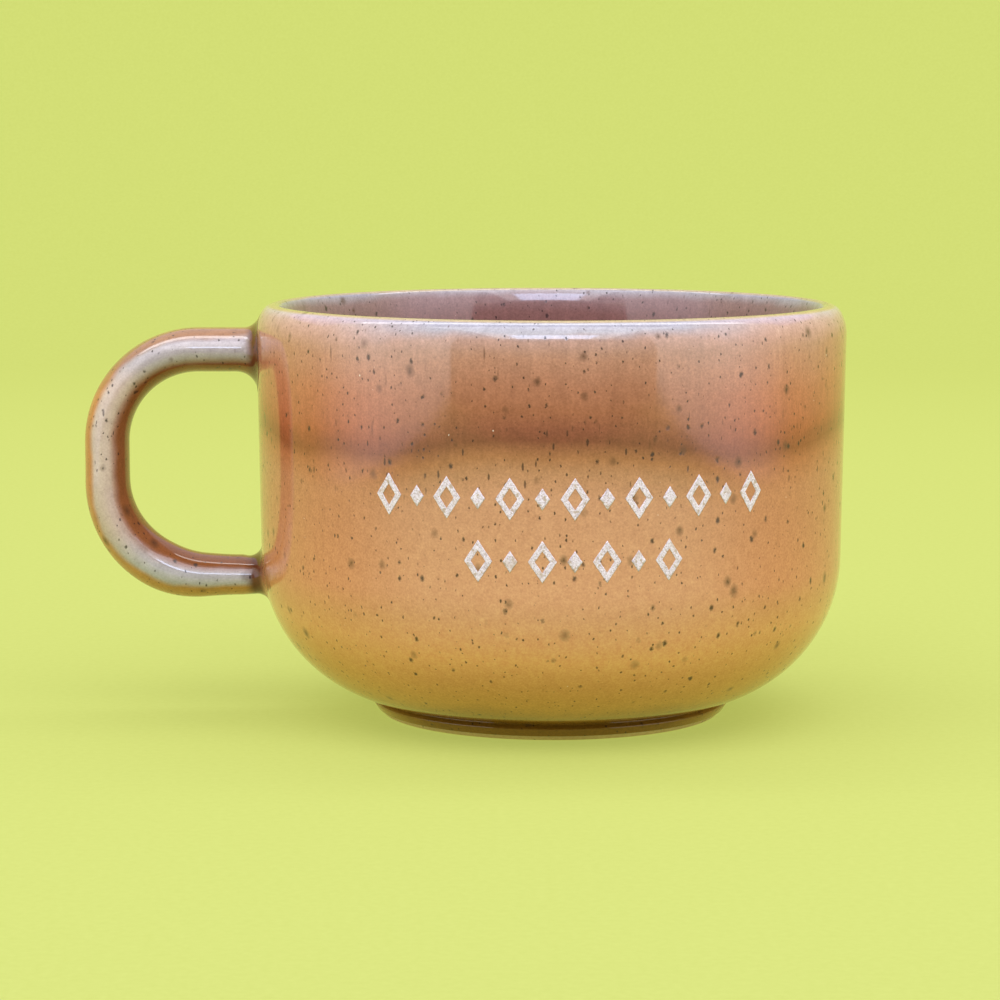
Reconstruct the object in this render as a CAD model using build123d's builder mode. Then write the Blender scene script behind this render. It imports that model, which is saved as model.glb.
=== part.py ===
from build123d import *
from math import cos, radians, sin
import os

# Stoneware mug, in millimetres. The origin is on the cup's axis at the plane it stands on,
# +Z is up, the handle points to -X and the decorated front faces -Y.

# Cup: a round belly, a wall that leans out a little, a rounded shoulder and a narrower lip
# that is also eased outwards on the inside
height = 77.0
belly_centre_r = 26.8
belly_centre_z = 30.1
belly_r = 27.65
wall_lean = 0.9
shoulder_r = 8.0
lip_r = 3.0
lip_turn = 28.0
inner_lip_r = 1.1
inner_lip_turn = 20.0
inner_shoulder_r = 22.0
glaze = 0.4

# Foot: a low ring that widens upwards to a narrow neck tucked under the belly
recess_r = 26.4
stand_inner_r = 27.0
stand_outer_r = 31.6
foot_bevel = 0.4
foot_top_r = 33.2
foot_top_z = 2.3
neck_r = 32.5
neck_z = 2.6
neck_angle = -76.0
bare_foot_z = 0.9
foot_ring_top = 6.0
recess_cove_z = 1.6

# Handle: an oval strap on a C-shaped path, thickest in the lower bend
handle_reach = 83.4
handle_upper_z = 68.3
handle_lower_z = 25.7
upper_bend_r = 17.4
lower_bend_r = 18.0
root_r = 46.0
strap_sections = {
    0.0: (8.3, 14.0),
    0.15: (8.3, 14.0),
    0.5: (8.3, 13.0),
    0.72: (9.4, 13.0),
    0.88: (7.5, 12.5),
    1.0: (6.9, 12.0),
}
upper_slip_r = 3.0
lower_slip_r = 2.5
room_size = 200.0

# Frosted band: two rows of lozenges blasted into the front of the glaze
mark_depth = 0.08
frost_depth = 0.24
band_turn = 3.5
band_step = 5.9
upper_row_z = 46.5
upper_row_count = 13
lower_row_z = 35.6
lower_row_count = 7
lozenge_wide = 5.0
lozenge_tall = 7.4
lozenge_line = 1.0
bead_wide = 2.6
bead_tall = 3.8
stencil_r = 50.0
stencil_length = 12.0

# Centres and lengths worked out from the sizes above
lean = radians(wall_lean)
turn = radians(lip_turn)
inner_turn = radians(inner_lip_turn)
belly_centre = Vector(belly_centre_r, belly_centre_z)
wall_normal = Vector(cos(lean), -sin(lean))
wall_run = Vector(sin(lean), cos(lean))
lip_rise = lip_r + (shoulder_r - lip_r) * sin(turn)
shoulder_foot = belly_centre + wall_normal * (belly_r - shoulder_r)
wall_length = (height - lip_rise - shoulder_foot.Y) / cos(lean)
shoulder_centre = shoulder_foot + wall_run * wall_length
lip_centre = shoulder_centre + Vector(cos(turn), sin(turn)) * (shoulder_r - lip_r)
inner_lip_centre = lip_centre + Vector(0, lip_r - inner_lip_r)
inner_drop = inner_shoulder_r - inner_lip_r
inner_shoulder_centre = inner_lip_centre + Vector(cos(inner_turn), -sin(inner_turn)) * inner_drop
wall = (shoulder_centre - inner_shoulder_centre).dot(wall_normal) + shoulder_r + inner_shoulder_r
inner_belly_r = belly_r - wall
coat_outer_r = shoulder_centre.X + shoulder_r + glaze
coat_reach = 5 * glaze
neck_direction = Vector(cos(radians(neck_angle)), sin(radians(neck_angle)))
neck_inside = belly_centre + neck_direction * (belly_r - 3 * glaze)
handle_middle_z = (handle_upper_z + handle_lower_z) / 2
under_z = belly_centre_z - belly_r
foot_slope = (foot_top_r - stand_outer_r - foot_bevel) / (foot_top_z - foot_bevel)
foot_side_r = stand_outer_r + foot_bevel + foot_slope * (bare_foot_z - foot_bevel)


def draw_outside(depth, start):
    # from an angle on the belly up to the crest of the lip, at a depth under the finished surface
    belly = CenterArc(belly_centre, belly_r - depth, start, -wall_lean - start)
    shoulder = CenterArc(shoulder_centre, shoulder_r - depth, -wall_lean, lip_turn + wall_lean)
    lip = CenterArc(lip_centre, lip_r - depth, lip_turn, 90 - lip_turn)
    Line(belly @ 1, shoulder @ 0)
    return belly @ 0, lip @ 1


def draw_inside(depth):
    # from the crest of the lip down to the middle of the floor, at a depth under the finished surface
    lip = CenterArc(inner_lip_centre, inner_lip_r - depth, 90, 90 - inner_lip_turn)
    eased = 180 - inner_lip_turn
    shoulder = CenterArc(inner_shoulder_centre, inner_shoulder_r - depth, eased, inner_lip_turn - wall_lean)
    belly = CenterArc(belly_centre, inner_belly_r + depth, -wall_lean, wall_lean - 90)
    Line(shoulder @ 1, belly @ 0)
    floor = Line(belly @ 1, (0, belly_centre_z - inner_belly_r - depth))
    return lip @ 0, floor @ 1


def cup_form(depth):
    # the cup as if it were solid, at a depth under the finished surface
    with BuildPart() as form:
        with BuildSketch(Plane.XZ):
            with BuildLine():
                under, crest = draw_outside(depth, -90)
                Polyline(crest, (0, crest.Y), (0, under.Y), under)
            make_face()
        revolve(axis=Axis.Z)
    return form.part


def strap(depth):
    # the handle from inside the cup's wall and back, at a depth under the finished surface
    with BuildPart() as form:
        for position, (thick, wide) in strap_sections.items():
            along = handle_path % position
            across = Plane(handle_path @ position, x_dir=along.cross(Vector(0, 1, 0)), z_dir=along)
            with BuildSketch(across):
                Ellipse(thick / 2 - depth, wide / 2 - depth)
        sweep(path=handle_path, multisection=True)
    return form.part


def joined_form(depth):
    # cup and handle as one, with a fillet of slip round each root
    with BuildPart() as form:
        add(cup_form(depth))
        add(strap(depth))
        seams = form.edges().filter_by(GeomType.BSPLINE)
        seams = seams.filter_by_position(Axis.X, -shoulder_centre.X - shoulder_r, -lip_centre.X)
        fillet(seams.filter_by_position(Axis.Z, handle_middle_z, height), upper_slip_r + depth)
        fillet(seams.filter_by_position(Axis.Z, 0, handle_middle_z), lower_slip_r + depth)
    return form.part


def arm_form(depth, *taken):
    # what stands out of the cup's wall, less what is already taken from it
    with BuildPart() as room:
        with Locations((-room_size / 2, 0, handle_middle_z)):
            Box(room_size, room_size, room_size)
        add(cup_form(depth), mode=Mode.SUBTRACT)
        for solid in taken:
            add(solid, mode=Mode.SUBTRACT)
    with BuildPart() as form:
        add(joined_form(depth))
        add(room.part, mode=Mode.INTERSECT)
    return form.part


def front_plane(angle, z):
    # a plane facing straight out of the wall, turned about the cup's axis from the front
    outward = (sin(radians(angle)), -cos(radians(angle)), 0)
    along = (cos(radians(angle)), sin(radians(angle)), 0)
    return Plane((0, 0, z), x_dir=along, z_dir=outward).offset(stencil_r)


def lozenge(wide, tall):
    return (wide / 2, 0), (0, tall / 2), (-wide / 2, 0), (0, -tall / 2)


with BuildLine(Plane.XZ) as path_line:
    upper_arm = Line((-root_r, handle_upper_z), (upper_bend_r - handle_reach, handle_upper_z))
    upper_bend = RadiusArc(upper_arm @ 1, (-handle_reach, handle_upper_z - upper_bend_r), -upper_bend_r)
    back = Line(upper_bend @ 1, (-handle_reach, handle_lower_z + lower_bend_r))
    lower_bend = RadiusArc(back @ 1, (lower_bend_r - handle_reach, handle_lower_z), -lower_bend_r)
    lower_arm = Line(lower_bend @ 1, (-root_r, handle_lower_z))
handle_path = path_line.wire()

clay_arm = arm_form(glaze)

# Clay: the thrown cup, its turned foot and the pulled handle
with BuildPart() as cup_body:
    with BuildSketch(Plane.XZ):
        with BuildLine():
            under, outer_crest = draw_outside(glaze, -90)
            inner_crest, floor_middle = draw_inside(glaze)
            Polyline(floor_middle, (0, under.Y), under)
        make_face()
    revolve(axis=Axis.Z)

with BuildPart() as foot_ring:
    with BuildSketch(Plane.XZ):
        with BuildLine():
            Polyline(
                (stand_inner_r, 0),
                (stand_outer_r, 0),
                (stand_outer_r + foot_bevel, foot_bevel),
                (foot_top_r, foot_top_z),
                (neck_r, neck_z),
                (neck_r, foot_ring_top),
                (recess_r, foot_ring_top),
                (recess_r, foot_top_z),
                close=True,
            )
        make_face()
    revolve(axis=Axis.Z)
    add(cup_form(glaze), mode=Mode.SUBTRACT)

with BuildPart() as handle:
    add(strap(glaze))
    add(cup_form(glaze), mode=Mode.SUBTRACT)

# Slip: the soft clay that holds each root of the handle to the wall
lower_ring, upper_ring = arm_form(glaze, strap(glaze)).solids().sort_by(Axis.Z)

with BuildPart() as upper_slip_joint:
    add(upper_ring)

with BuildPart() as lower_slip_joint:
    add(lower_ring)

# Frosted band: every second mark is an open lozenge, and the ones between are small and filled.
# Each is the blasted bottom of a shallow pocket, a hair below the glossy surface.
with BuildPart() as stencils:
    for row_z, count in ((upper_row_z, upper_row_count), (lower_row_z, lower_row_count)):
        for index in range(count):
            angle = band_turn + (index - (count - 1) / 2) * band_step
            with BuildSketch(front_plane(angle, row_z)):
                if index % 2:
                    Polygon(*lozenge(bead_wide, bead_tall), align=None)
                else:
                    Polygon(*lozenge(lozenge_wide, lozenge_tall), align=None)
                    offset(amount=-lozenge_line, kind=Kind.INTERSECTION, mode=Mode.SUBTRACT)
            extrude(amount=stencil_length)

with BuildPart() as frosted_band:
    add(stencils.part)
    add(cup_form(mark_depth), mode=Mode.INTERSECT)
    add(cup_form(frost_depth), mode=Mode.SUBTRACT)

with BuildPart() as mark_pockets:
    add(stencils.part)
    add(cup_form(frost_depth), mode=Mode.SUBTRACT)

# Glaze: one coat on each clay piece, with the foot's standing face left bare
with BuildPart() as outer_glaze:
    add(cup_form(0))
    add(joined_form(glaze), mode=Mode.SUBTRACT)
    with BuildSketch(Plane.XZ):
        with BuildLine():
            neck_cut = PolarLine(neck_inside, coat_reach, neck_angle)
            Polyline(
                neck_cut @ 1,
                (coat_outer_r, (neck_cut @ 1).Y),
                (coat_outer_r, height + glaze),
                (lip_centre.X, height + glaze),
                (lip_centre.X, shoulder_centre.Y),
                neck_inside,
            )
        make_face()
    revolve(axis=Axis.Z, mode=Mode.INTERSECT)
    add(mark_pockets.part, mode=Mode.SUBTRACT)

with BuildPart() as liner_glaze:
    with BuildSketch(Plane.XZ):
        with BuildLine():
            finished_crest, finished_floor = draw_inside(0)
            clay_crest, clay_floor = draw_inside(glaze)
            Line(finished_crest, clay_crest)
            Line(finished_floor, clay_floor)
        make_face()
    revolve(axis=Axis.Z)

with BuildPart() as handle_glaze:
    add(arm_form(0, clay_arm))

with BuildPart() as foot_glaze:
    with BuildSketch(Plane.XZ):
        with BuildLine():
            Polyline(
                (neck_r, bare_foot_z),
                (foot_side_r + glaze, bare_foot_z),
                (foot_top_r + glaze, foot_top_z),
                (neck_r + glaze, neck_z + glaze),
                (neck_r + glaze, foot_ring_top),
                (neck_r, foot_ring_top),
                close=True,
            )
        make_face()
    revolve(axis=Axis.Z)
    add(foot_ring.part, mode=Mode.SUBTRACT)
    add(cup_form(0), mode=Mode.SUBTRACT)

with BuildPart() as base_glaze:
    with BuildSketch(Plane.XZ):
        with BuildLine():
            Polyline((0, under_z), (recess_r - glaze, under_z), (recess_r, recess_cove_z))
            Polyline((recess_r, recess_cove_z), (recess_r, foot_ring_top), (0, foot_ring_top), (0, under_z))
        make_face()
    revolve(axis=Axis.Z)
    add(foot_ring.part, mode=Mode.SUBTRACT)
    add(cup_form(glaze), mode=Mode.SUBTRACT)

pieces = {
    "cup_body": cup_body,
    "foot_ring": foot_ring,
    "handle": handle,
    "upper_slip_joint": upper_slip_joint,
    "lower_slip_joint": lower_slip_joint,
    "outer_glaze": outer_glaze,
    "liner_glaze": liner_glaze,
    "handle_glaze": handle_glaze,
    "foot_glaze": foot_glaze,
    "base_glaze": base_glaze,
    "frosted_band": frosted_band,
}
os.makedirs("parts", exist_ok=True)
for name, piece in pieces.items():
    piece.part.label = name
    export_step(piece.part, f"parts/{name}.step")
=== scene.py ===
import math

import bmesh
import bpy
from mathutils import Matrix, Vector, noise


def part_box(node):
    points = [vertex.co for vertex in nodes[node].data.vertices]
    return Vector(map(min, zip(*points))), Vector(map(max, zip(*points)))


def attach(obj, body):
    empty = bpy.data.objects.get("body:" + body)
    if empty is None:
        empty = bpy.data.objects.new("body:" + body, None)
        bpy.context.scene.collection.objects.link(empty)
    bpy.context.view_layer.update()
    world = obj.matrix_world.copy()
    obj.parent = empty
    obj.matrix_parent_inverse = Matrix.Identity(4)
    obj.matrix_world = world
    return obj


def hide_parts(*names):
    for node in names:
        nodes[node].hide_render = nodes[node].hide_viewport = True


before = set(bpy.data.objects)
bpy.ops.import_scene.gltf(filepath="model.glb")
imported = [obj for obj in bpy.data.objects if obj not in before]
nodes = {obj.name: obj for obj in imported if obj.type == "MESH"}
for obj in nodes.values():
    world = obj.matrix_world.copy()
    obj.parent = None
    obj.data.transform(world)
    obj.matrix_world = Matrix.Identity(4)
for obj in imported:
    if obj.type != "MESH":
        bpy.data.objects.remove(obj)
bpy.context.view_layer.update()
mm = 0.001
print("frame loaded:", sorted(nodes))


# a wrapped socket, so masks can be written as sums
class Wire:
    def __init__(self, tree, socket):
        self.tree = tree
        self.socket = socket

    def other(self, name):  # another output of the same node
        return Wire(self.tree, self.socket.node.outputs[name])

    def math(self, operation, *others, clamp=False):
        settings = {"operation": operation, "use_clamp": clamp}
        return addNode(self.tree, "Math", settings, dict(enumerate((self,) + others)))

    def __add__(self, other):
        return self.math("ADD", other)

    __radd__ = __add__

    def __mul__(self, other):
        return self.math("MULTIPLY", other)

    __rmul__ = __mul__

    def __sub__(self, other):
        return self.math("SUBTRACT", other)

    def __rsub__(self, other):
        return self.math("MULTIPLY_ADD", -1.0, other)

    def __truediv__(self, other):
        return self.math("DIVIDE", other)

    def clip(self):
        return self.math("ADD", 0.0, clamp=True)

    def high(self, other):
        return self.math("MAXIMUM", other)

    def ramp(self, start, end):  # 0 at start, 1 at end, smooth between
        settings = {"interpolation_type": "SMOOTHSTEP"}
        return addNode(self.tree, "MapRange", settings, {0: self, 1: start, 2: end})


def plug(tree, value, socket):
    if isinstance(value, Wire):
        tree.links.new(value.socket, socket)
    else:
        socket.default_value = value


def setStops(ramp, stops):
    # stops are (height, sRGB colour), from 0 to the last one's height
    ramp.interpolation = "LINEAR"
    while len(ramp.elements) < len(stops):
        ramp.elements.new(0.5)
    for element, (height, tint) in zip(ramp.elements, stops):
        element.position = height / stops[-1][0]
        element.color = colour(*tint)


def addNode(tree, kind, settings=None, sockets=None, out=0):
    # its settings first, then what its sockets hold or are linked to
    node = tree.nodes.new("ShaderNode" + kind)
    for key, value in (settings or {}).items():
        if key == "stops":
            setStops(node.color_ramp, value)
        else:
            setattr(node, key, value)
    for key, value in (sockets or {}).items():
        plug(tree, value, node.inputs[key])
    return Wire(tree, node.outputs[out]) if node.outputs else node


speckCut = {"least": 0.35, "spread": 0.65}  # the smallest dot's share of the full size
ragged = {"scale": 1700.0, "detail": 3.0, "push": 0.7 * mm}


class Glost:  # one material and its nodes
    def __init__(self, name):
        self.material = bpy.data.materials.new(name)
        self.material.use_nodes = True
        self.tree = self.material.node_tree
        self.tree.nodes.clear()
        surface = self.node("BsdfPrincipled")
        self.shader = surface.socket.node
        self.node("OutputMaterial", sockets={"Surface": surface})
        self.where = self.node("TexCoord").other("Object")
        self.push = None

    def node(self, kind, settings=None, sockets=None, out=0):
        return addNode(self.tree, kind, settings, sockets, out)

    def axes(self):
        parts = self.node("SeparateXYZ", sockets={0: self.where})
        return parts, parts.other("Y"), parts.other("Z")

    def placed(self, scale, shift=(0, 0, 0)):
        sockets = {"Vector": self.where, "Scale": scale, "Location": shift}
        return self.node("Mapping", sockets=sockets)

    def grain(self, scale, detail=2.0, rough=0.5, stretch=(1, 1, 1)):
        sockets = {"Vector": self.placed(stretch), "Scale": scale}
        sockets.update({"Detail": detail, "Roughness": rough})
        return self.node("TexNoise", sockets=sockets)

    def vector(self, operation, first, second):
        return self.node("VectorMath", {"operation": operation}, {0: first, 1: second})

    def stray(self):
        # a small push to and fro, shared by every set of specks
        if self.push is None:
            sockets = {"Vector": self.where, "Scale": ragged["scale"], "Detail": ragged["detail"]}
            ripple = self.node("TexNoise", sockets=sockets).other("Color")
            centred = self.vector("SUBTRACT", ripple, (0.5, 0.5, 0.5))
            self.push = self.vector("MULTIPLY", centred, (ragged["push"],) * 3)
        return self.push

    def specks(self, spacing, size, share, shift=(0, 0, 0), stretch=(1, 1, 1), soft=0.35, rag=1.0):
        # round dots about size wide, in a share of the cells of a loose grid of that spacing
        push = self.vector("MULTIPLY", self.stray(), [rag * part for part in stretch])
        place = self.vector("ADD", self.placed(stretch, shift), push)
        near = self.node("TexVoronoi", sockets={"Vector": place, "Scale": 1 / spacing})
        pick = self.node("SeparateColor", sockets={0: near.other("Color")})
        chosen = pick.math("LESS_THAN", share)
        width = pick.other("Green") * speckCut["spread"] + speckCut["least"]
        reach = width * (size / spacing)
        dot = ((reach - near) / (reach * soft)).clip()
        return dot * chosen

    def mix(self, mask, first, second, blend="MIX"):
        settings = {"data_type": "RGBA", "blend_type": blend}
        return self.node("Mix", settings, {0: mask, 6: first, 7: second}, out=2)

    def set(self, **values):
        for key, value in values.items():
            plug(self.tree, value, self.shader.inputs[key.replace("_", " ")])

    def bump(self, height, strength, depth):
        sockets = {"Height": height, "Strength": strength, "Distance": depth}
        self.set(Normal=self.node("Bump", sockets=sockets))


def colour(red, green, blue):
    return tuple(linear(value) for value in (red, green, blue)) + (1.0,)


def linear(value):
    value = value / 255
    return value / 12.92 if value <= 0.04045 else ((value + 0.055) / 1.055) ** 2.4


# the cup's profile, in millimetres from its axis and up from the table
cup = {
    "height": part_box("outer_glaze")[1].z / mm,
    "widest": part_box("outer_glaze")[1].y / mm,
    "bellyR": 27.65,
    "bellyZ": 30.1,
    "lean": math.radians(0.9),
    "shoulderR": 8.0,
    "lipR": 3.0,
    "lipTurn": math.radians(28.0),
    "innerLipR": 1.1,
    "innerLipTurn": math.radians(20.0),
    "innerShoulderR": 22.0,
    "glaze": 0.4,
    "neckAngle": math.radians(-76.0),
    "around": 288,
    # how finely each run is divided, on the face and on the hidden back of the coat
    "bellySteps": (36, 18),
    "wallSteps": (24, 4),
    "shoulderSteps": (12, 6),
    "lipSteps": (12, 6),
    "innerLipSteps": (10, 6),
    "innerWallSteps": (20, 4),
    "innerBellySteps": (30, 16),
    "wobble": (26.0, 0.06),
}


def cupCentres():
    lean, turn = cup["lean"], cup["lipTurn"]
    gap = cup["shoulderR"] - cup["lipR"]
    lipRise = cup["lipR"] + gap * math.sin(turn)
    shoulderZ = cup["height"] - lipRise
    shoulderX = cup["widest"] - cup["shoulderR"]
    fuller = cup["bellyR"] - cup["shoulderR"]
    run = (shoulderZ - cup["bellyZ"] + fuller * math.sin(lean)) / math.cos(lean)
    bellyX = shoulderX - fuller * math.cos(lean) - run * math.sin(lean)
    lipX, lipZ = shoulderX + gap * math.cos(turn), shoulderZ + gap * math.sin(turn)
    eased, drop = cup["innerLipTurn"], cup["innerShoulderR"] - cup["innerLipR"]
    innerLipZ = lipZ + cup["lipR"] - cup["innerLipR"]
    easedX, easedZ = lipX + drop * math.cos(eased), innerLipZ - drop * math.sin(eased)
    across = (shoulderX - easedX) * math.cos(lean) - (shoulderZ - easedZ) * math.sin(lean)
    wall = across + cup["shoulderR"] + cup["innerShoulderR"]
    return {
        "belly": Vector((bellyX, 0, cup["bellyZ"])),
        "shoulder": Vector((shoulderX, 0, shoulderZ)),
        "lip": Vector((lipX, 0, lipZ)),
        "innerLip": Vector((lipX, 0, innerLipZ)),
        "innerShoulder": Vector((easedX, 0, easedZ)),
        "insideR": cup["bellyR"] - wall,
    }


centres = cupCentres()


def atAngle(angle, length):
    # a step in the XZ plane, from +X up towards +Z
    return Vector((math.cos(angle), 0, math.sin(angle))) * length


def wallRadius(height):
    # how far the glazed outside is from the axis at a height
    belly, shoulder, lip = centres["belly"], centres["shoulder"], centres["lip"]
    lean = cup["lean"]
    lowEnd = belly.z - cup["bellyR"] * math.sin(lean)
    highEnd = shoulder.z - cup["shoulderR"] * math.sin(lean)
    lipStart = shoulder.z + cup["shoulderR"] * math.sin(cup["lipTurn"])
    if height < lowEnd:
        return belly.x + math.sqrt(cup["bellyR"] ** 2 - (height - belly.z) ** 2)
    if height < highEnd:
        return belly.x + cup["bellyR"] * math.cos(lean) + (height - lowEnd) * math.tan(lean)
    if height < lipStart:
        return shoulder.x + math.sqrt(cup["shoulderR"] ** 2 - (height - shoulder.z) ** 2)
    return lip.x + math.sqrt(max(cup["lipR"] ** 2 - (height - lip.z) ** 2, 0))


def startAt(bm, x, z):
    return bm.verts.new((x, 0, z))


def lineTo(bm, vert, x, z, steps=1):
    start = vert.co.copy()
    for step in range(steps):
        vert = bmesh.ops.extrude_vert_indiv(bm, verts=[vert])["verts"][0]
        vert.co = start.lerp(Vector((x, 0, z)), (step + 1) / steps)
    return vert


def arcRound(bm, vert, centre, angle, steps):
    # turns a point about a centre in the XZ plane, positive from +X towards +Z
    made = bmesh.ops.spin(bm, geom=[vert], cent=centre, axis=(0, -1, 0), angle=angle, steps=steps)
    return [item for item in made["geom_last"] if isinstance(item, bmesh.types.BMVert)][0]


def turnRound(bm, steps, near=0.001):
    geom = bm.verts[:] + bm.edges[:]
    turned = {"cent": (0, 0, 0), "axis": (0, 0, 1), "angle": math.tau}
    bmesh.ops.spin(bm, geom=geom, steps=steps, use_merge=True, **turned)
    bmesh.ops.remove_doubles(bm, verts=bm.verts, dist=near)
    bmesh.ops.recalc_face_normals(bm, faces=bm.faces)


def handWobble(bm, size, depth):
    # a slow unevenness left by the hand, always inwards
    for vert in bm.verts:
        push = noise.noise(vert.co / size) * 0.5 + 0.5
        flat = Vector((vert.co.x, vert.co.y, 0))
        if flat.length > 1:
            vert.co -= flat.normalized() * push * depth


def finishPiece(bm, name, glost, replaced):
    bmesh.ops.scale(bm, vec=(mm, mm, mm), verts=bm.verts)
    mesh = bpy.data.meshes.new(name)
    bm.to_mesh(mesh)
    bm.free()
    for polygon in mesh.polygons:
        polygon.use_smooth = True
    piece = bpy.data.objects.new(name, mesh)
    bpy.context.scene.collection.objects.link(piece)
    mesh.materials.append(glost.material)
    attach(piece, "root")
    if replaced:
        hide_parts(*replaced)
    print(name, "faces:", len(mesh.polygons))
    return piece


# the glaze on the outside and the foot
glazeLook = {
    # colour of the glaze at each height in millimetres, at the front: darker towards the foot, the
    # foot itself darkened as painted shade, and a pale lavender painted reflection of the lights at
    # the lip
    "heights": [
        # painted shade at the foot
        (0.0, (128, 88, 30)),
        (3.4, (134, 94, 36)),
        (8.0, (196, 142, 82)),
        (13.0, (208, 148, 96)),
        (17.6, (226, 165, 114)),
        (21.0, (222, 162, 120)),
        (26.0, (210, 155, 121)),
        (46.5, (198, 146, 118)),
        (50.8, (180, 131, 100)),
        (53.3, (166, 113, 80)),
        (56.4, (129, 79, 60)),
        (58.4, (141, 88, 68)),
        (61.8, (160, 105, 79)),
        (66.1, (171, 118, 95)),
        (70.4, (181, 134, 115)),
        (73.8, (180, 146, 136)),
        # painted reflection of the overhead lights from here to the lip
        (75.2, (160, 156, 168)),
        (77.0, (156, 156, 172)),
    ],
    # and towards the two sides, lighter at the foot and redder up the wall than at the front: the
    # foot's sides carry painted light against the front's painted shade, and the lip a lavender
    # painted reflection
    "flanksWithPaintedLight": [
        (0.0, (196, 150, 66)),
        (13.0, (206, 148, 84)),
        (21.0, (220, 160, 108)),
        (24.5, (209, 150, 103)),
        (29.5, (203, 138, 101)),
        (41.5, (196, 133, 100)),
        (49.1, (192, 131, 99)),
        (53.4, (180, 113, 80)),
        (55.9, (150, 86, 58)),
        (57.6, (156, 88, 61)),
        (59.3, (172, 98, 69)),
        (61.9, (182, 109, 82)),
        (66.1, (188, 119, 93)),
        (72.2, (193, 138, 120)),
        (75.4, (194, 158, 152)),
        (77.0, (180, 166, 176)),
    ],
    "paintedLipReflection": colour(176, 150, 84),  # painted reflection: the yellow line along the top of the lip, where the backdrop is mirrored
    "iron": colour(44, 34, 34),
    "rust": colour(80, 56, 42),
    "pit": colour(240, 232, 228),
    "roughness": 0.055,
}


def heightRamp(glost, level, stops):
    top = stops[-1][0] * mm
    return glost.node("ValToRGB", {"stops": stops}, {0: level / top})


# spacing and size in millimetres, share of cells, shift of the grid, stretch, softness, raggedness
speckKinds = {
    "small": (0.95, 0.26, 0.6, (0.31, 0.12, 0.23), (1, 1, 0.62), 0.5, 0.7),
    "middle": (2.3, 0.55, 0.58, (0.52, 0.41, 0.13), (1, 1, 0.66), 0.6, 1.0),
    "blotch": (4.4, 1.25, 0.6, (0.74, 0.22, 0.61), (1, 1, 0.8), 0.9, 1.0),
    "dash": (1.2, 0.27, 0.8, (0.15, 0.37, 0.46), (1, 1, 0.3), 0.35, 0.4),
    "run": (1.5, 0.25, 0.75, (0.41, 0.52, 0.73), (1, 1, 0.13), 0.9, 0.3),
    "pit": (2.6, 0.16, 0.2, (0.83, 0.94, 0.35), (1, 1, 1), 0.4, 1.0),
    "claySpeck": (1.2, 0.26, 0.35, (0, 0, 0), (1, 1, 1), 0.35, 1.0),
}
speckDepth = {
    "iron": 0.86,
    "dash": 0.85,
    "run": 0.72,
    "pit": 0.8,
    "blotchLeast": 0.4,
    "blotchGrain": 0.8,
    "blotchMark": 0.4,
}
dashZone = (44 * mm, 50 * mm, 56 * mm, 62 * mm)  # dashes hang just under the dark band
runZone = (50 * mm, 60 * mm)


def specksOf(glost, kind):
    spacing, size, share, shift, stretch, soft, rag = speckKinds[kind]
    return glost.specks(spacing * mm, size * mm, share, shift, stretch, soft, rag)


def addSpecks(glost, z, body, fine, look):
    # iron specks of several sizes, runs in the upper half and a few pale pits
    small, middle, blotch = (specksOf(glost, kind) for kind in ("small", "middle", "blotch"))
    dash = specksOf(glost, "dash") * z.ramp(*dashZone[:2]) * z.ramp(dashZone[3], dashZone[2])
    run = specksOf(glost, "run") * z.ramp(*runZone)
    iron = small.high(middle).high(dash * speckDepth["dash"])
    halo = blotch * (fine * speckDepth["blotchGrain"] + speckDepth["blotchLeast"])
    body = glost.mix(halo, body, look["rust"])
    body = glost.mix(run * speckDepth["run"], body, look["rust"])
    body = glost.mix(iron * speckDepth["iron"], body, look["iron"])
    pit = specksOf(glost, "pit")
    body = glost.mix(pit * speckDepth["pit"], body, look["pit"])
    return body, iron.high(blotch * speckDepth["blotchMark"]).high(pit)


grainLook = {
    "cloud": (45, 3, 0.55),
    "fine": (2600, 2, 0.65),
    "curds": (650, 3, 0.6),
    "comb": (900, 2, 0.6, (1, 1, 0.08)),  # faint vertical combing where the glaze ran
    "drift": 3.4 * mm,
    "fineMix": 0.30,
    "curdsMix": 0.20,
    "combZone": (45 * mm, 60 * mm),
    "combMost": 0.13,
    "combLeast": 0.04,
}
sagLook = {
    # the band hangs lower beside the front and recovers towards the two sides
    "depth": 2.6 * mm,
    "out": (8 * mm, 34 * mm),
    "back": (56 * mm, 44 * mm),
    "below": (30 * mm, 44 * mm),
    "above": (76 * mm, 68 * mm),
    # where the sides' colours, with their painted light, take over
    "flankWithPaintedLight": (19 * mm, 42 * mm),
    # painted reflection of the backdrop along the top of the lip
    "lip": (76.5 * mm, 76.85 * mm),
    "paintedLipReflectionMix": 0.75,
}


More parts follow.
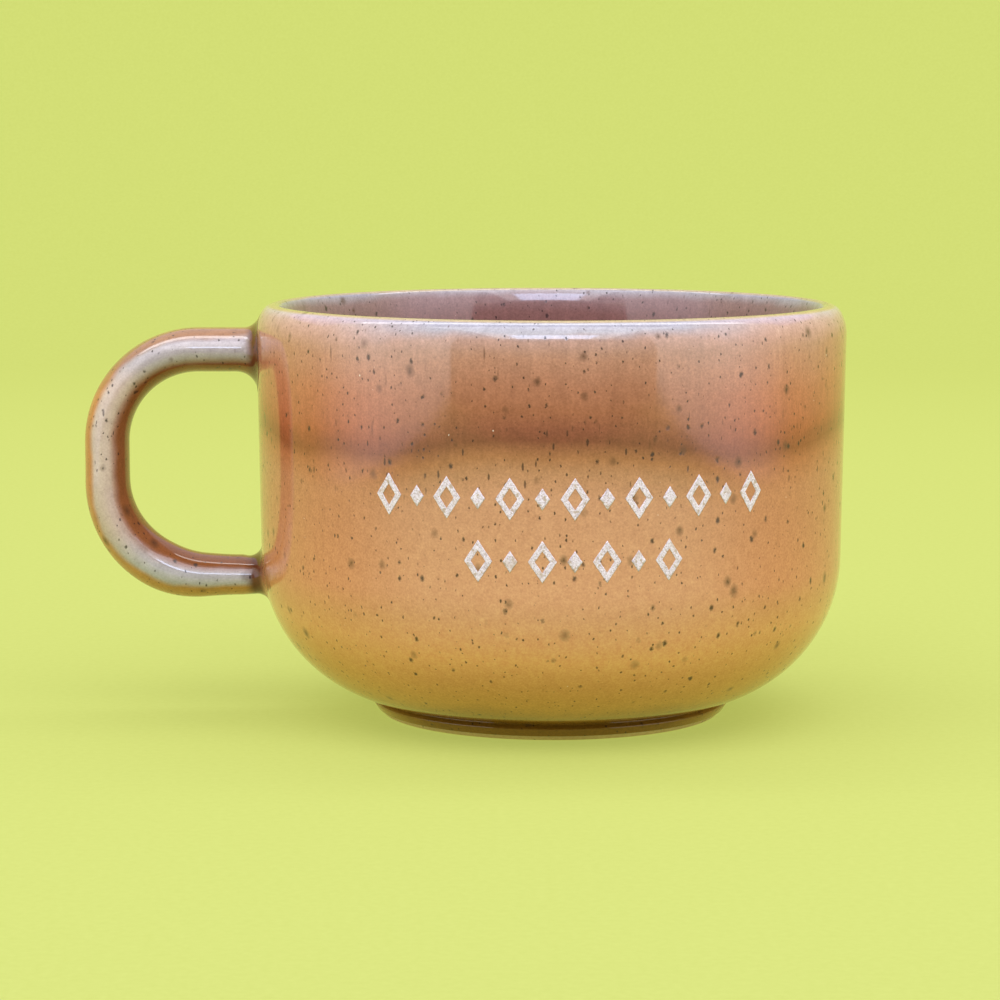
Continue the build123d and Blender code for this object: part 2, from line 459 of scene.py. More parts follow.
def glazeBody(glost, x, z, look):
    cloud = glost.grain(*grainLook["cloud"])
    drift = (cloud - 0.5) * grainLook["drift"]
    aside = x.math("ABSOLUTE")
    sag = aside.ramp(*sagLook["out"]) * aside.ramp(*sagLook["back"]) * sagLook["depth"]
    sag = sag * z.ramp(*sagLook["above"]) * z.ramp(*sagLook["below"])
    level = z + drift + sag
    body = heightRamp(glost, level, look["heights"])
    # the sides get their own colours, with painted light at the foot and painted reflection at the
    # lip
    if "flanksWithPaintedLight" in look:
        flankWithPaintedLight = heightRamp(glost, level, look["flanksWithPaintedLight"])
        body = glost.mix(aside.ramp(*sagLook["flankWithPaintedLight"]), body, flankWithPaintedLight)
    # painted reflection of the backdrop along the top of the lip
    body = glost.mix(z.ramp(*sagLook["lip"]) * sagLook["paintedLipReflectionMix"], body, look["paintedLipReflection"])
    fine = glost.grain(*grainLook["fine"])
    curds = glost.grain(*grainLook["curds"])
    comb = glost.grain(*grainLook["comb"])
    grainy = glost.mix(grainLook["fineMix"], body, fine, "OVERLAY")
    grainy = glost.mix(grainLook["curdsMix"], grainy, curds, "OVERLAY")
    combed = z.ramp(*grainLook["combZone"]) * grainLook["combMost"] + grainLook["combLeast"]
    grainy = glost.mix(combed, grainy, comb, "OVERLAY")
    return grainy, fine, cloud


gloss = {
    "ior": 1.52,
    "marks": 0.2,
    "cloud": 0.03,
    "fineRise": 0.25,
    "markRise": -0.8,
    "bump": (0.16, 0.05 * mm),
}


def polish(glost, painted, marks, fine, cloud, roughness):
    # the fired gloss, duller and dented at each speck
    rough = marks * gloss["marks"] + cloud * gloss["cloud"] + roughness
    glost.set(Base_Color=painted, Roughness=rough, IOR=gloss["ior"])
    glost.bump(fine * gloss["fineRise"] + cloud + marks * gloss["markRise"], *gloss["bump"])


def makeGlaze(name, look):
    glost = Glost(name)
    x, _, z = glost.axes()
    body, fine, cloud = glazeBody(glost, x, z, look)
    painted, marks = addSpecks(glost, z, body, fine, look)
    polish(glost, painted, marks, fine, cloud, look["roughness"])
    return glost


outerGlost = makeGlaze("honeyDuskGlaze", glazeLook)

handleLook = {
    # painted shade: the upper arm is given a darker colour where the lights fall strongest on its
    # top
    "top": colour(150, 110, 80),
    "back": colour(190, 128, 84),
    # painted highlight: pale lavender where the strap's narrow sides mirror the lights, less red on
    # the upper arm and bluer on the lower one
    "paintedHighlight": colour(196, 176, 170),
    "paintedHighlightTop": colour(170, 162, 168),
    "paintedHighlightLow": colour(180, 177, 188),
    # painted shade on the strap's inner face, toward the cup
    "inner": colour(138, 86, 52),
    "honey": colour(186, 138, 84),
    "jointDark": colour(98, 54, 34),
    "wallTop": colour(178, 118, 92),
    "wallLow": colour(200, 138, 98),
    "honeyZone": (45 * mm, 20 * mm),
    "shadedTopZone": (58 * mm, 68 * mm),
    "paintedHighlightTopZone": (61 * mm, 67 * mm),
    "paintedHighlightLowZone": (36 * mm, 27 * mm),
    "paintedHighlightShiftZone": (24 * mm, 36 * mm),
    "paintedHighlightShift": 0.26,
    "paintedHighlightEdge": (0.50, 0.20),  # how far a face looks outwards, 1 at the back and -1 inside
    "innerShadeEdge": (-0.15, -0.62),
    "jointDarkZone": (-57.6 * mm, -55.4 * mm),
    "wallZone": (-54.6 * mm, -52.6 * mm),
    "wallSplit": (40 * mm, 55 * mm),
    "wander": 1.5 * mm,
    "lean": 0.5,
    "cloud": (90, 3, 0.55),
    "comb": (420, 3, 0.6),
    "fineMix": 0.28,
    "combMix": 0.22,
    "roughness": 0.055,
}


def makeHandleGlaze(look):
    # a pale lavender painted highlight on the strap's narrow sides, painted shade on its inner face
    # and upper arm, and darker brown at its joints
    glost = Glost("handleGlaze")
    x, _, z = glost.axes()
    out = glost.node("Attribute", {"attribute_name": "faceOut"}, out=2)
    cloud = glost.grain(*look["cloud"])
    fine = glost.grain(*grainLook["fine"])
    comb = glost.grain(*look["comb"])
    lean = out + (cloud - 0.5) * look["lean"]
    body = glost.mix(z.ramp(*look["honeyZone"]), look["back"], look["honey"])
    # painted shade on the upper arm
    body = glost.mix(z.ramp(*look["shadedTopZone"]), body, look["top"])
    # painted highlight on the narrow sides
    paintedHighlight = glost.mix(z.ramp(*look["paintedHighlightTopZone"]), look["paintedHighlight"], look["paintedHighlightTop"])
    paintedHighlight = glost.mix(z.ramp(*look["paintedHighlightLowZone"]), paintedHighlight, look["paintedHighlightLow"])
    shift = z.ramp(*look["paintedHighlightShiftZone"]) * look["paintedHighlightShift"]
    body = glost.mix((lean - shift).ramp(*look["paintedHighlightEdge"]), body, paintedHighlight)
    # painted shade on the inner face
    body = glost.mix(lean.ramp(*look["innerShadeEdge"]), body, look["inner"])
    near = x + (cloud - 0.5) * look["wander"]
    # darker brown where the strap meets the wall
    body = glost.mix(near.ramp(*look["jointDarkZone"]), body, look["jointDark"])
    onWall = glost.mix(z.ramp(*look["wallSplit"]), look["wallLow"], look["wallTop"])
    body = glost.mix(near.ramp(*look["wallZone"]), body, onWall)
    grainy = glost.mix(look["fineMix"], body, fine, "OVERLAY")
    grainy = glost.mix(look["combMix"], grainy, comb, "OVERLAY")
    painted, marks = addSpecks(glost, z, grainy, fine, glazeLook)
    polish(glost, painted, marks, fine, cloud, look["roughness"])
    return glost


handleGlost = makeHandleGlaze(handleLook)

linerLook = {
    "heights": [
        (0.0, (120, 80, 52)),
        (9.0, (140, 94, 62)),
        (16.0, (158, 110, 80)),
        (30.0, (152, 106, 84)),
        (55.0, (142, 96, 84)),
        (72.0, (134, 97, 94)),
        (75.0, (146, 118, 120)),
        # from here up, a pale lavender painted reflection of the lights on the inner lip
        (76.2, (164, 156, 164)),
        (77.0, (156, 156, 172)),
    ],
    # painted reflection of the backdrop along the top of the lip
    "paintedLipReflection": colour(170, 148, 96),
    "iron": colour(48, 36, 38),
    "rust": colour(92, 62, 56),
    "pit": colour(226, 216, 214),
    "roughness": 0.05,
}
linerGlost = makeGlaze("mauveLinerGlaze", linerLook)

clayLook = {
    "pale": colour(212, 186, 146),
    "dark": colour(186, 156, 118),
    "iron": colour(60, 42, 32),
    "wet": colour(128, 88, 60),
    "grit": (1400, 4, 0.7),
    "cloud": (60, 3, 0.5),
    "ring": (900, 2, 0.5, (0.06, 0.06, 1)),  # lines left by the turning tool
    "gritMix": 0.4,
    "speckMix": 0.8,
    "rough": 0.7,
    "roughGrit": 0.2,
    "ringRise": 0.5,
    "bump": (0.4, 0.1 * mm),
}


def makeClay(name, first, second):
    glost = Glost(name)
    grit = glost.grain(*clayLook["grit"])
    cloud = glost.grain(*clayLook["cloud"])
    ring = glost.grain(*clayLook["ring"])
    body = glost.mix(cloud, first, second)
    body = glost.mix(clayLook["gritMix"], body, grit, "OVERLAY")
    iron = specksOf(glost, "claySpeck")
    body = glost.mix(iron * clayLook["speckMix"], body, clayLook["iron"])
    rough = grit * clayLook["roughGrit"] + clayLook["rough"]
    glost.set(Base_Color=body, Roughness=rough)
    glost.bump(grit + ring * clayLook["ringRise"], *clayLook["bump"])
    return glost


clayGlost = makeClay("bareStoneware", clayLook["pale"], clayLook["dark"])
slipGlost = makeClay("firedSlip", clayLook["dark"], clayLook["wet"])

frostLook = {
    "bright": colour(238, 229, 252),
    "dull": colour(186, 170, 188),
    "worn": colour(188, 168, 164),
    "thin": colour(196, 174, 164),
    "grit": (3600, 3, 0.75),
    "curds": (1300, 2, 0.6),
    "cloud": (300, 2, 0.6),
    "gritEdge": (0.34, 0.6),
    "curdsEdge": (0.44, 0.34),
    "cloudEdge": (0.42, 0.3),
    "thinMix": 0.5,
    "rough": 0.55,
    "roughGrit": 0.3,
    "bump": (0.6, 0.08 * mm),
}


def makeFrost(look):
    glost = Glost("frostedGlaze")
    grit = glost.grain(*look["grit"])
    curds = glost.grain(*look["curds"])
    cloud = glost.grain(*look["cloud"])
    body = glost.mix(grit.ramp(*look["gritEdge"]), look["dull"], look["bright"])
    body = glost.mix(curds.ramp(*look["curdsEdge"]), body, look["worn"])
    body = glost.mix(cloud.ramp(*look["cloudEdge"]) * look["thinMix"], body, look["thin"])
    glost.set(Base_Color=body, Roughness=grit * look["roughGrit"] + look["rough"])
    glost.bump(grit + curds, *look["bump"])
    return glost


frostGlost = makeFrost(frostLook)


def buildOuterGlaze():
    bm = bmesh.new()
    belly, shoulder, lip = centres["belly"], centres["shoulder"], centres["lip"]
    lean, turn, neck, coat = cup["lean"], cup["lipTurn"], cup["neckAngle"], cup["glaze"]
    bellySteps, wallSteps = cup["bellySteps"], cup["wallSteps"]
    shoulderSteps, lipSteps = cup["shoulderSteps"], cup["lipSteps"]
    start = belly + atAngle(neck, cup["bellyR"])
    first = startAt(bm, start.x, start.z)
    vert = arcRound(bm, first, belly, -lean - neck, bellySteps[0])
    wallTop = shoulder + atAngle(-lean, cup["shoulderR"])
    vert = lineTo(bm, vert, wallTop.x, wallTop.z, wallSteps[0])
    vert = arcRound(bm, vert, shoulder, turn + lean, shoulderSteps[0])
    vert = arcRound(bm, vert, lip, math.pi / 2 - turn, lipSteps[0])
    vert = lineTo(bm, vert, lip.x, vert.co.z - coat)
    vert = arcRound(bm, vert, lip, turn - math.pi / 2, lipSteps[1])
    vert = arcRound(bm, vert, shoulder, -turn - lean, shoulderSteps[1])
    skinFoot = belly + atAngle(-lean, cup["bellyR"] - coat)
    vert = lineTo(bm, vert, skinFoot.x, skinFoot.z, wallSteps[1])
    vert = arcRound(bm, vert, belly, neck + lean, bellySteps[1])
    bm.edges.new((vert, first))
    turnRound(bm, cup["around"])
    handWobble(bm, *cup["wobble"])
    return finishPiece(bm, "outerGlazeCoat", outerGlost, ["outer_glaze"])


def buildLiner():
    bm = bmesh.new()
    belly, lip, shoulder = centres["belly"], centres["innerLip"], centres["innerShoulder"]
    lean, eased, coat = cup["lean"], cup["innerLipTurn"], cup["glaze"]
    lipSteps, shoulderSteps = cup["innerLipSteps"], cup["shoulderSteps"]
    wallSteps, bellySteps = cup["innerWallSteps"], cup["innerBellySteps"]
    first = startAt(bm, lip.x, lip.z + cup["innerLipR"])
    vert = arcRound(bm, first, lip, math.pi / 2 - eased, lipSteps[0])
    vert = arcRound(bm, vert, shoulder, eased - lean, shoulderSteps[0])
    low = belly + atAngle(-lean, centres["insideR"])
    vert = lineTo(bm, vert, low.x, low.z, wallSteps[0])
    vert = arcRound(bm, vert, belly, lean - math.pi / 2, bellySteps[0])
    vert = lineTo(bm, vert, 0, vert.co.z, 8)
    vert = lineTo(bm, vert, 0, vert.co.z - coat)
    vert = lineTo(bm, vert, belly.x, vert.co.z, 2)
    vert = arcRound(bm, vert, belly, math.pi / 2 - lean, bellySteps[1])
    low = shoulder - atAngle(-lean, cup["innerShoulderR"] - coat)
    vert = lineTo(bm, vert, low.x, low.z, wallSteps[1])
    vert = arcRound(bm, vert, shoulder, lean - eased, shoulderSteps[1])
    vert = arcRound(bm, vert, lip, eased - math.pi / 2, lipSteps[1])
    bm.edges.new((vert, first))
    turnRound(bm, cup["around"])
    return finishPiece(bm, "linerGlazeCoat", linerGlost, ["liner_glaze"])


buildOuterGlaze()
buildLiner()

foot = {
    "recessR": 26.4,
    "standInnerR": 27.0,
    "standOuterR": 31.6,
    "bevel": 0.4,
    "topR": 33.2,
    "topZ": 2.3,
    "neckR": 32.5,
    "neckZ": 2.6,
    "bareZ": 0.9,
    "coatTopZ": 3.2,
    "rootZ": 1.6,  # where the base glaze starts on the ring's inside
    "tuck": 0.1,  # how far a coat reaches into the clay
    "baseTuck": 0.05,
    "curlStart": 1.2,
    "curlEnd": 0.5,
    "curlDrop": 0.25,
}


def softLoop(bm, points):
    # a closed outline through points, with its corners rounded by a bevel
    verts = [bm.verts.new((x, 0, z)) for x, z, _ in points]
    for here, after in zip(verts, verts[1:] + verts[:1]):
        bm.edges.new((here, after))
    for vert, (_, _, eased) in zip(verts, points):
        if eased:
            corner = {"affect": "VERTICES", "segments": 4, "profile": 0.5, "material": -1}
            bmesh.ops.bevel(bm, geom=[vert], offset=eased, **corner)


def buildFootRing():
    bm = bmesh.new()
    skinR = cup["bellyR"] - cup["glaze"]
    under = cup["bellyZ"] - math.sqrt(skinR ** 2 - (foot["neckR"] - centres["belly"].x) ** 2)
    # each corner is a radius, a height and how far it is rounded
    softLoop(bm, [
        (foot["standInnerR"], 0, 0.25),
        (foot["standOuterR"], 0, 0.3),
        (foot["standOuterR"] + foot["bevel"], foot["bevel"], 0.15),
        (foot["topR"], foot["topZ"], 0.2),
        (foot["neckR"], foot["neckZ"], 0.1),
        (foot["neckR"], under + 0.1, 0),
        (foot["recessR"], under - 0.3, 0),
        (foot["recessR"], foot["topZ"], 0.2),
    ])
    turnRound(bm, cup["around"])
    return finishPiece(bm, "footRingClay", clayGlost, ["foot_ring"])


def buildFootGlaze():
    bm = bmesh.new()
    slope = (foot["topR"] - foot["standOuterR"] - foot["bevel"]) / (foot["topZ"] - foot["bevel"])
    side = foot["standOuterR"] + foot["bevel"] + slope * (foot["bareZ"] - foot["bevel"])
    coat = cup["glaze"]
    softLoop(bm, [
        (side - foot["tuck"], foot["bareZ"], 0),
        (side + coat, foot["bareZ"], 0.15),
        (foot["topR"] + coat, foot["topZ"], 0.25),
        (foot["neckR"] + coat, foot["neckZ"] + coat, 0.15),
        (foot["neckR"] + coat, foot["coatTopZ"], 0),
        (foot["neckR"] - foot["tuck"], foot["coatTopZ"], 0),
        (foot["neckR"] - foot["tuck"], foot["neckZ"], 0),
        (foot["topR"] - 0.2, foot["topZ"] - 0.1, 0),
    ])
    turnRound(bm, cup["around"])
    return finishPiece(bm, "footGlazeCoat", outerGlost, ["foot_glaze"])


def buildBaseGlaze():
    bm = bmesh.new()
    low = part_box("base_glaze")[1].z / mm
    under, edge = low - cup["glaze"], foot["recessR"]
    first = startAt(bm, 0, under)
    vert = lineTo(bm, first, edge - foot["curlStart"], under, 6)
    vert = lineTo(bm, vert, edge - foot["curlEnd"], under - foot["curlDrop"])
    vert = lineTo(bm, vert, edge + foot["baseTuck"], foot["rootZ"])
    vert = lineTo(bm, vert, edge + foot["baseTuck"], low)
    vert = lineTo(bm, vert, 0, low, 4)
    bm.edges.new((vert, first))
    turnRound(bm, cup["around"])
    return finishPiece(bm, "baseGlazeCoat", outerGlost, ["base_glaze"])


buildFootRing()
buildFootGlaze()
buildBaseGlaze()

handle = {
    "reach": 83.4,
    "upperZ": 68.3,
    "lowerZ": 25.7,
    "upperBend": 17.4,
    "lowerBend": 18.0,
    # share of the strap's length, its thickness and its width there
    "sections": [
        (0.0, 8.3, 14.0),
        (0.15, 8.3, 14.0),
        (0.5, 8.3, 13.0),
        (0.72, 9.4, 13.0),
        (0.88, 7.5, 12.5),
        (1.0, 6.9, 12.0),
    ],
    "root": 46.0,
    "upperClear": 58.5,  # from the axis to where the fillets end
    "lowerClear": 57.3,
    "upperShare": 0.1,
    "lowerShare": 0.95,
    "sunk": 0.5,
    "upperSlip": (2.5, 4.0),
    "lowerSlip": (1.9, 2.6),
    "round": 64,
    "stations": 90,
    "flare": 14,
}


def handleRuns():
    # lengths of the upper arm, upper bend, back, lower bend and lower arm
    upper, lower, reach = handle["upperBend"], handle["lowerBend"], handle["reach"]
    back = handle["upperZ"] - upper - handle["lowerZ"] - lower
    quarter, arms = math.pi / 2, reach - handle["root"]
    return [arms - upper, upper * quarter, back, lower * quarter, arms - lower]


def handlePoint(length):
    # where the middle of the strap is at a length from its root, and which way is outwards
    armIn, bendIn, back, bendOut, _ = handleRuns()
    upper, lower, reach = handle["upperBend"], handle["lowerBend"], handle["reach"]
    if length <= armIn:
        return Vector((-handle["root"] - length, 0, handle["upperZ"])), Vector((0, 0, 1))
    length -= armIn
    if length <= bendIn:
        turn = length / upper
        out = Vector((-math.sin(turn), 0, math.cos(turn)))
        return Vector((upper - reach, 0, handle["upperZ"] - upper)) + out * upper, out
    length -= bendIn
    if length <= back:
        return Vector((-reach, 0, handle["upperZ"] - upper - length)), Vector((-1, 0, 0))
    length -= back
    if length <= bendOut:
        turn = length / lower
        out = Vector((-math.cos(turn), 0, -math.sin(turn)))
        return Vector((lower - reach, 0, handle["lowerZ"] + lower)) + out * lower, out
    length -= bendOut
    return Vector((lower - reach + length, 0, handle["lowerZ"])), Vector((0, 0, -1))


def strapSize(share):
    for before, after in zip(handle["sections"], handle["sections"][1:]):
        if share <= after[0]:
            step = (share - before[0]) / (after[0] - before[0])
            step = step * step * (3 - 2 * step)
            return [start + (end - start) * step for start, end in zip(before[1:], after[1:])]
    return handle["sections"][-1][1:]


def ovalPoint(turn, thick, wide, spread):
    # across (y) and outwards (n) on the oval, spread out along its own normal
    across, outward = wide / 2 * math.sin(turn), thick / 2 * math.cos(turn)
    normal = Vector((math.sin(turn) * thick, math.cos(turn) * wide)).normalized()
    return across + normal.x * spread, outward + normal.y * spread


def buildHandle():
    bm = bmesh.new()
    faceOut = bm.verts.layers.float.new("faceOut")
    total = sum(handleRuns())
    ring = bmesh.ops.create_circle(bm, segments=handle["round"], radius=1.0)["verts"]
    ring = sorted(ring, key=lambda vert: math.atan2(vert.co.x, vert.co.y) % math.tau)
    turns = [math.atan2(vert.co.x, vert.co.y) % math.tau for vert in ring]
    for vert, turn in zip(ring, turns):
        vert[faceOut] = math.cos(turn)

    def rootRing(share, slip, sunk, angle):
        # one ring of the fillet where the strap spreads onto the wall
        thick, wide = strapSize(share)
        middle, out = handlePoint(share * total)
        places = []
        for turn in turns:
            radius = (slip[0] + slip[1]) / 2 + (slip[0] - slip[1]) / 2 * math.cos(turn)
            across, rise = ovalPoint(turn, thick, wide, radius * (1 - math.cos(angle)))
            height = middle.z + out.z * rise
            wall = math.sqrt(wallRadius(height) ** 2 - across ** 2)
            places.append(Vector((-wall + sunk - radius * (1 - math.sin(angle)), across, height)))
        return places

    def strapRing(share):
        thick, wide = strapSize(share)
        middle, out = handlePoint(share * total)
        places = []
        for turn in turns:
            across, rise = ovalPoint(turn, thick, wide, 0)
            places.append(middle + out * rise + Vector((0, across, 0)))
        return places

    def moveRing(verts, places):
        for vert, place in zip(verts, places):
            vert.co = place

    def nextRing(verts, places):
        edges = [bm.edges.get((a, b)) for a, b in zip(verts, verts[1:] + verts[:1])]
        made = bmesh.ops.extrude_edge_only(bm, edges=edges)["geom"]
        partner = {}
        for vert in (item for item in made if isinstance(item, bmesh.types.BMVert)):
            for edge in vert.link_edges:
                partner[edge.other_vert(vert)] = vert
        ordered = [partner[vert] for vert in verts]
        moveRing(ordered, places)
        return ordered

    quarter = math.pi / 2
    upperSlip, lowerSlip = handle["upperSlip"], handle["lowerSlip"]
    upperShare, lowerShare = handle["upperShare"], handle["lowerShare"]
    startEnd = (handle["upperClear"] - handle["root"]) / total
    finishEnd = 1 - (handle["lowerClear"] - handle["root"]) / total
    moveRing(ring, rootRing(upperShare, upperSlip, handle["sunk"], quarter))
    last = nextRing(ring, rootRing(upperShare, upperSlip, 0.0, quarter))
    for step in range(1, handle["flare"] + 1):
        angle = quarter * (1 - step / handle["flare"])
        last = nextRing(last, rootRing(upperShare, upperSlip, 0.0, angle))
    for step in range(1, handle["stations"] + 1):
        share = startEnd + (finishEnd - startEnd) * step / (handle["stations"] + 1)
        last = nextRing(last, strapRing(share))
    for step in range(handle["flare"] + 1):
        angle = quarter * step / handle["flare"]
        last = nextRing(last, rootRing(lowerShare, lowerSlip, 0.0, angle))
    last = nextRing(last, rootRing(lowerShare, lowerSlip, handle["sunk"], quarter))
    bmesh.ops.contextual_create(bm, geom=ring)
    bmesh.ops.contextual_create(bm, geom=last)
    bmesh.ops.recalc_face_normals(bm, faces=bm.faces)
    return finishPiece(bm, "handleGlazeCoat", handleGlost, ["handle_glaze"])


buildHandle()

band = {
    "turn": 3.5,
    "step": 5.9,
    "rows": [(46.5, 13), (35.6, 7)],
    "open": (5.0, 7.4, 1.0),
    "bead": (2.6, 3.8),
    "proud": 0.03,
    "depth": 0.15,
    "ragged": 0.05,
    "raggedScale": 4,
    "seedStep": 7.3,
    "cuts": 7,
}


def buildMark(angle, height, bead, seed):
    # one lozenge drawn flat, then wrapped on the wall
    bm = bmesh.new()
    wide, tall = band["bead"] if bead else band["open"][:2]
    made = bmesh.ops.create_circle(bm, segments=4, radius=1.0, cap_ends=bead)["verts"]
    bmesh.ops.scale(bm, vec=(wide / 2, tall / 2, 1), verts=made)
    if not bead:
        shrink = 1 - band["open"][2] * 2 * math.hypot(wide, tall) / (wide * tall)
        inner = bmesh.ops.extrude_edge_only(bm, edges=bm.edges[:])["geom"]
        inner = [item for item in inner if isinstance(item, bmesh.types.BMVert)]
        bmesh.ops.scale(bm, vec=(shrink, shrink, 1), verts=inner)
    bmesh.ops.subdivide_edges(bm, edges=bm.edges[:], cuts=band["cuts"], use_grid_fill=True)
    for vert in bm.verts:
        flat = vert.co * band["raggedScale"]
        ragged = band["ragged"] * noise.noise(Vector((flat.x, flat.y, seed * band["seedStep"])))
        z = height + vert.co.y + ragged
        radius = wallRadius(z) + band["proud"]
        turn = angle + (vert.co.x + ragged) / radius
        vert.co = Vector((radius * math.sin(turn), -radius * math.cos(turn), z))
    bm.normal_update()
    for face in bm.faces:
        if face.normal.dot(face.calc_center_median() * Vector((1, 1, 0))) < 0:
            face.normal_flip()
    outside = bm.faces[:]
    made = bmesh.ops.extrude_face_region(bm, geom=outside, use_keep_orig=True)["geom"]
    for vert in (item for item in made if isinstance(item, bmesh.types.BMVert)):
        vert.co -= Vector((vert.co.x, vert.co.y, 0)).normalized() * band["depth"]
    bmesh.ops.recalc_face_normals(bm, faces=bm.faces)
    return bm


def buildBand():
    whole = bmesh.new()
    carrier = bpy.data.meshes.new("markCarrier")
    for height, count in band["rows"]:
        for index in range(count):
            angle = math.radians(band["turn"] + (index - (count - 1) / 2) * band["step"])
            mark = buildMark(angle, height, index % 2 == 1, index + height)
            mark.to_mesh(carrier)
            mark.free()
            whole.from_mesh(carrier)
    bpy.data.meshes.remove(carrier)
    return finishPiece(whole, "frostedBand", frostGlost, ["frosted_band"])


buildBand()

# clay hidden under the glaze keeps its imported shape
hidden = {
    "cup_body": clayGlost,
    "handle": clayGlost,
    "upper_slip_joint": slipGlost,
    "lower_slip_joint": slipGlost,
}
for name, glost in hidden.items():
    nodes[name].data.materials.clear()
    nodes[name].data.materials.append(glost.material)

# paper table and lights, in metres
studio = {
    "paper": colour(107, 113, 57),
    "paperFibre": colour(200, 206, 150),
    "fibre": (700, 3, 0.6),
    "fibreMix": 0.12,
    "paperLit": (0.385, 0.43, 0.094, 1.0),  # the sheet is lit from beneath
    "bowlFlat": 0.8,
    "bowlCurve": 0.35,
    "bowlTop": 0.6,
    "sideGap": 0.32,
    "sideHigh": 0.62,
    "sideLow": 0.01,
    "front": -0.42,
    "sideEnd": -0.14,
    "fadeStart": -0.15,
    "fadeEnd": 0.06,
    "glowStart": (1.0, 0.97, 1.0, 1.0),
    "glowEnd": (0.37, 0.42, 0.11, 1.0),  # the paper beside it
    "feltDark": colour(30, 26, 26),
    "feltPale": colour(44, 38, 36),
    "felt": (400, 2, 0.6),
    "cardY": -0.468,
    "cardWide": 2.4,
    "cardTop": 0.325,
    "roof": 0.56,
    "roofFront": -0.86,
    "roofBack": -0.12,
    "roofTint": (0.96, 0.94, 1.0),
    "lampY": -0.74,
    "lampZ": 0.555,
    "lampSize": (0.42, 0.26),
    "lampGlow": 9.0,
    "lampTint": (0.5, 0.66, 1.0),
    "washAt": (0, 0.25, 0.9),
    "washAim": (0, 1.1, 0.15),
    "washSize": (1.6, 0.5),
    "sideGlow": 1.8,
    "roofGlow": 3.0,
    "washGlow": 5.2,
    "room": 0.75,
    "roomTint": (0.97, 0.95, 1.0, 1),
}


def placeStage(bm, name, glost):
    mesh = bpy.data.meshes.new(name)
    bm.to_mesh(mesh)
    bm.free()
    for polygon in mesh.polygons:
        polygon.use_smooth = True
    piece = bpy.data.objects.new(name, mesh)
    bpy.context.scene.collection.objects.link(piece)
    mesh.materials.append(glost.material)
    return piece


def makePaper():
    glost = Glost("palePaper")
    fibre = glost.grain(*studio["fibre"])
    tint = glost.mix(fibre * studio["fibreMix"], studio["paper"], studio["paperFibre"])
    glost.set(Base_Color=tint, Roughness=0.85, Specular_IOR_Level=0.2)
    glost.set(Emission_Color=studio["paperLit"], Emission_Strength=1.0)
    glost.material.cycles.emission_sampling = "NONE"
    return glost


def buildPaper():
    bm = bmesh.new()
    first = bm.verts.new((0, 0, 0))
    vert = lineTo(bm, first, studio["bowlFlat"], 0, 6)
    bend = (studio["bowlFlat"], 0, studio["bowlCurve"])
    vert = arcRound(bm, vert, bend, math.pi / 2, 16)
    lineTo(bm, vert, vert.co.x, studio["bowlTop"], 2)
    turnRound(bm, 96, 1e-5)
    placeStage(bm, "paperSweep", makePaper())


def softLight(name, place, aim, wide, tall, glow, tint=(1.0, 0.97, 1.0)):
    light = bpy.data.lights.new(name, "AREA")
    light.shape = "RECTANGLE"
    light.size = wide
    light.size_y = tall
    light.energy = glow * math.pi * wide * tall
    light.color = tint
    lamp = bpy.data.objects.new(name, light)
    lamp.location = place
    lamp.rotation_euler = (Vector(aim) - Vector(place)).to_track_quat("-Z", "Y").to_euler()
    lamp.visible_camera = False
    bpy.context.scene.collection.objects.link(lamp)
    return lamp


def buildGlowCard(side):
    # the same side light as the glaze mirrors it, fading out beside the mug
    bm = bmesh.new()
    bmesh.ops.create_grid(bm, x_segments=1, y_segments=1, size=0.5)
    start, end = studio["front"], studio["fadeEnd"]
    for vert in bm.verts:
        along = start + (vert.co.x + 0.5) * (end - start)
        up = (vert.co.y + 0.5) * studio["sideHigh"] + studio["sideLow"]
        vert.co = Vector((side * studio["sideGap"], along, up))
    name = "glowCard" + ("Left" if side < 0 else "Right")
    glost = Glost(name + "Cloth")
    _, y, _ = glost.axes()
    fade = y.ramp(end, studio["fadeStart"])
    glost.set(Base_Color=(0, 0, 0, 1), Specular_IOR_Level=0.0, Emission_Strength=studio["sideGlow"])
    glost.set(Emission_Color=glost.mix(fade, studio["glowEnd"], studio["glowStart"]))
    card = placeStage(bm, name, glost)
    card.visible_camera = False
    card.visible_diffuse = False
    card.visible_shadow = False


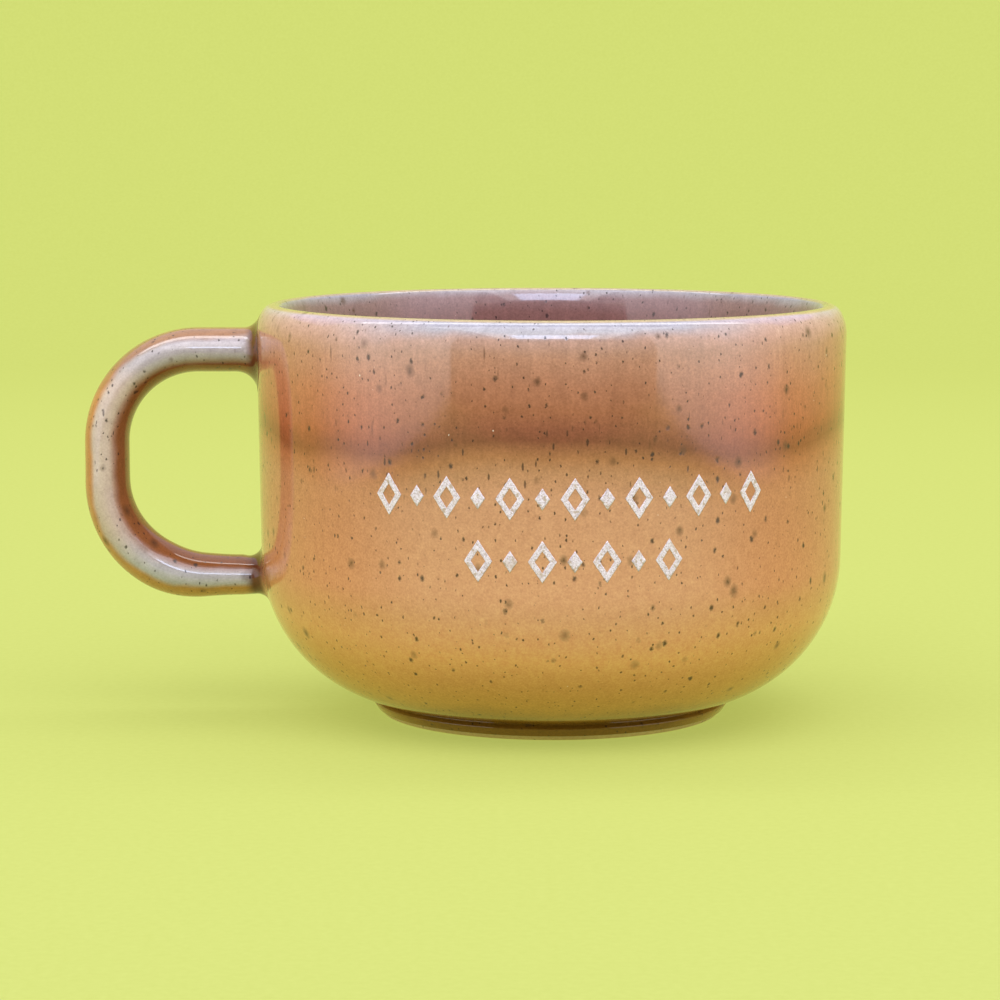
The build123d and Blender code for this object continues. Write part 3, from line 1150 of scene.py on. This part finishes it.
def buildDarkCard():
    # what stands behind the viewer, dark in the middle of the glaze
    bm = bmesh.new()
    bmesh.ops.create_grid(bm, x_segments=1, y_segments=1, size=0.5)
    for vert in bm.verts:
        along, up = vert.co.x * studio["cardWide"], (vert.co.y + 0.5) * studio["cardTop"]
        vert.co = Vector((along, studio["cardY"], up))
    glost = Glost("darkFelt")
    felt = glost.grain(*studio["felt"])
    tint = glost.mix(felt, studio["feltDark"], studio["feltPale"])
    glost.set(Base_Color=tint, Roughness=0.95)
    placeStage(bm, "darkCard", glost).visible_camera = False


def buildSideLights():
    long = studio["sideEnd"] - studio["front"]
    middle = (studio["sideEnd"] + studio["front"]) / 2
    centre = studio["sideHigh"] / 2 + studio["sideLow"]
    for side in (-1, 1):
        buildGlowCard(side)
        place = (side * studio["sideGap"], middle, centre)
        size = (long, studio["sideHigh"])
        lamp = softLight(f"sidePanel{side}", place, (0, middle, centre), *size, studio["sideGlow"])
        lamp.visible_glossy = False


def buildTopLights():
    long = studio["roofBack"] - studio["roofFront"]
    middle = (studio["roofBack"] + studio["roofFront"]) / 2
    place, size = (0, middle, studio["roof"]), (2 * studio["sideGap"], long)
    softLight("roofPanel", place, (0, middle, 0), *size, studio["roofGlow"], studio["roofTint"])
    place, size = (0, studio["lampY"], studio["lampZ"]), studio["lampSize"]
    aim = (0, studio["lampY"], 0)
    lamp = softLight("daylightLamp", place, aim, *size, studio["lampGlow"], studio["lampTint"])
    lamp.visible_diffuse = False
    size = studio["washSize"]
    softLight("backWash", studio["washAt"], studio["washAim"], *size, studio["washGlow"], (1, 1, 1))


buildPaper()
buildDarkCard()
buildSideLights()
buildTopLights()
print("paper, cards and lights placed")

world = bpy.data.worlds.new("roomLight")
world.use_nodes = True
world.node_tree.nodes["Background"].inputs[0].default_value = studio["roomTint"]
world.node_tree.nodes["Background"].inputs[1].default_value = studio["room"]
bpy.context.scene.world = world
bpy.context.scene.view_settings.view_transform = "Standard"

view = {
    "place": (-9.57 * mm, -613.1 * mm, 113.4 * mm),
    "down": math.radians(6.84),
    "lens": 117.97,
    "sensor": 36,
    "near": 0.01,
}
camera = bpy.data.cameras.new("viewCamera")
camera.lens = view["lens"]
camera.sensor_width = view["sensor"]
camera.clip_start = view["near"]
eye = bpy.data.objects.new("viewCamera", camera)
eye.location = view["place"]
eye.rotation_euler = (math.pi / 2 - view["down"], 0, 0)
bpy.context.scene.collection.objects.link(eye)
bpy.context.scene.camera = eye
print("camera placed")
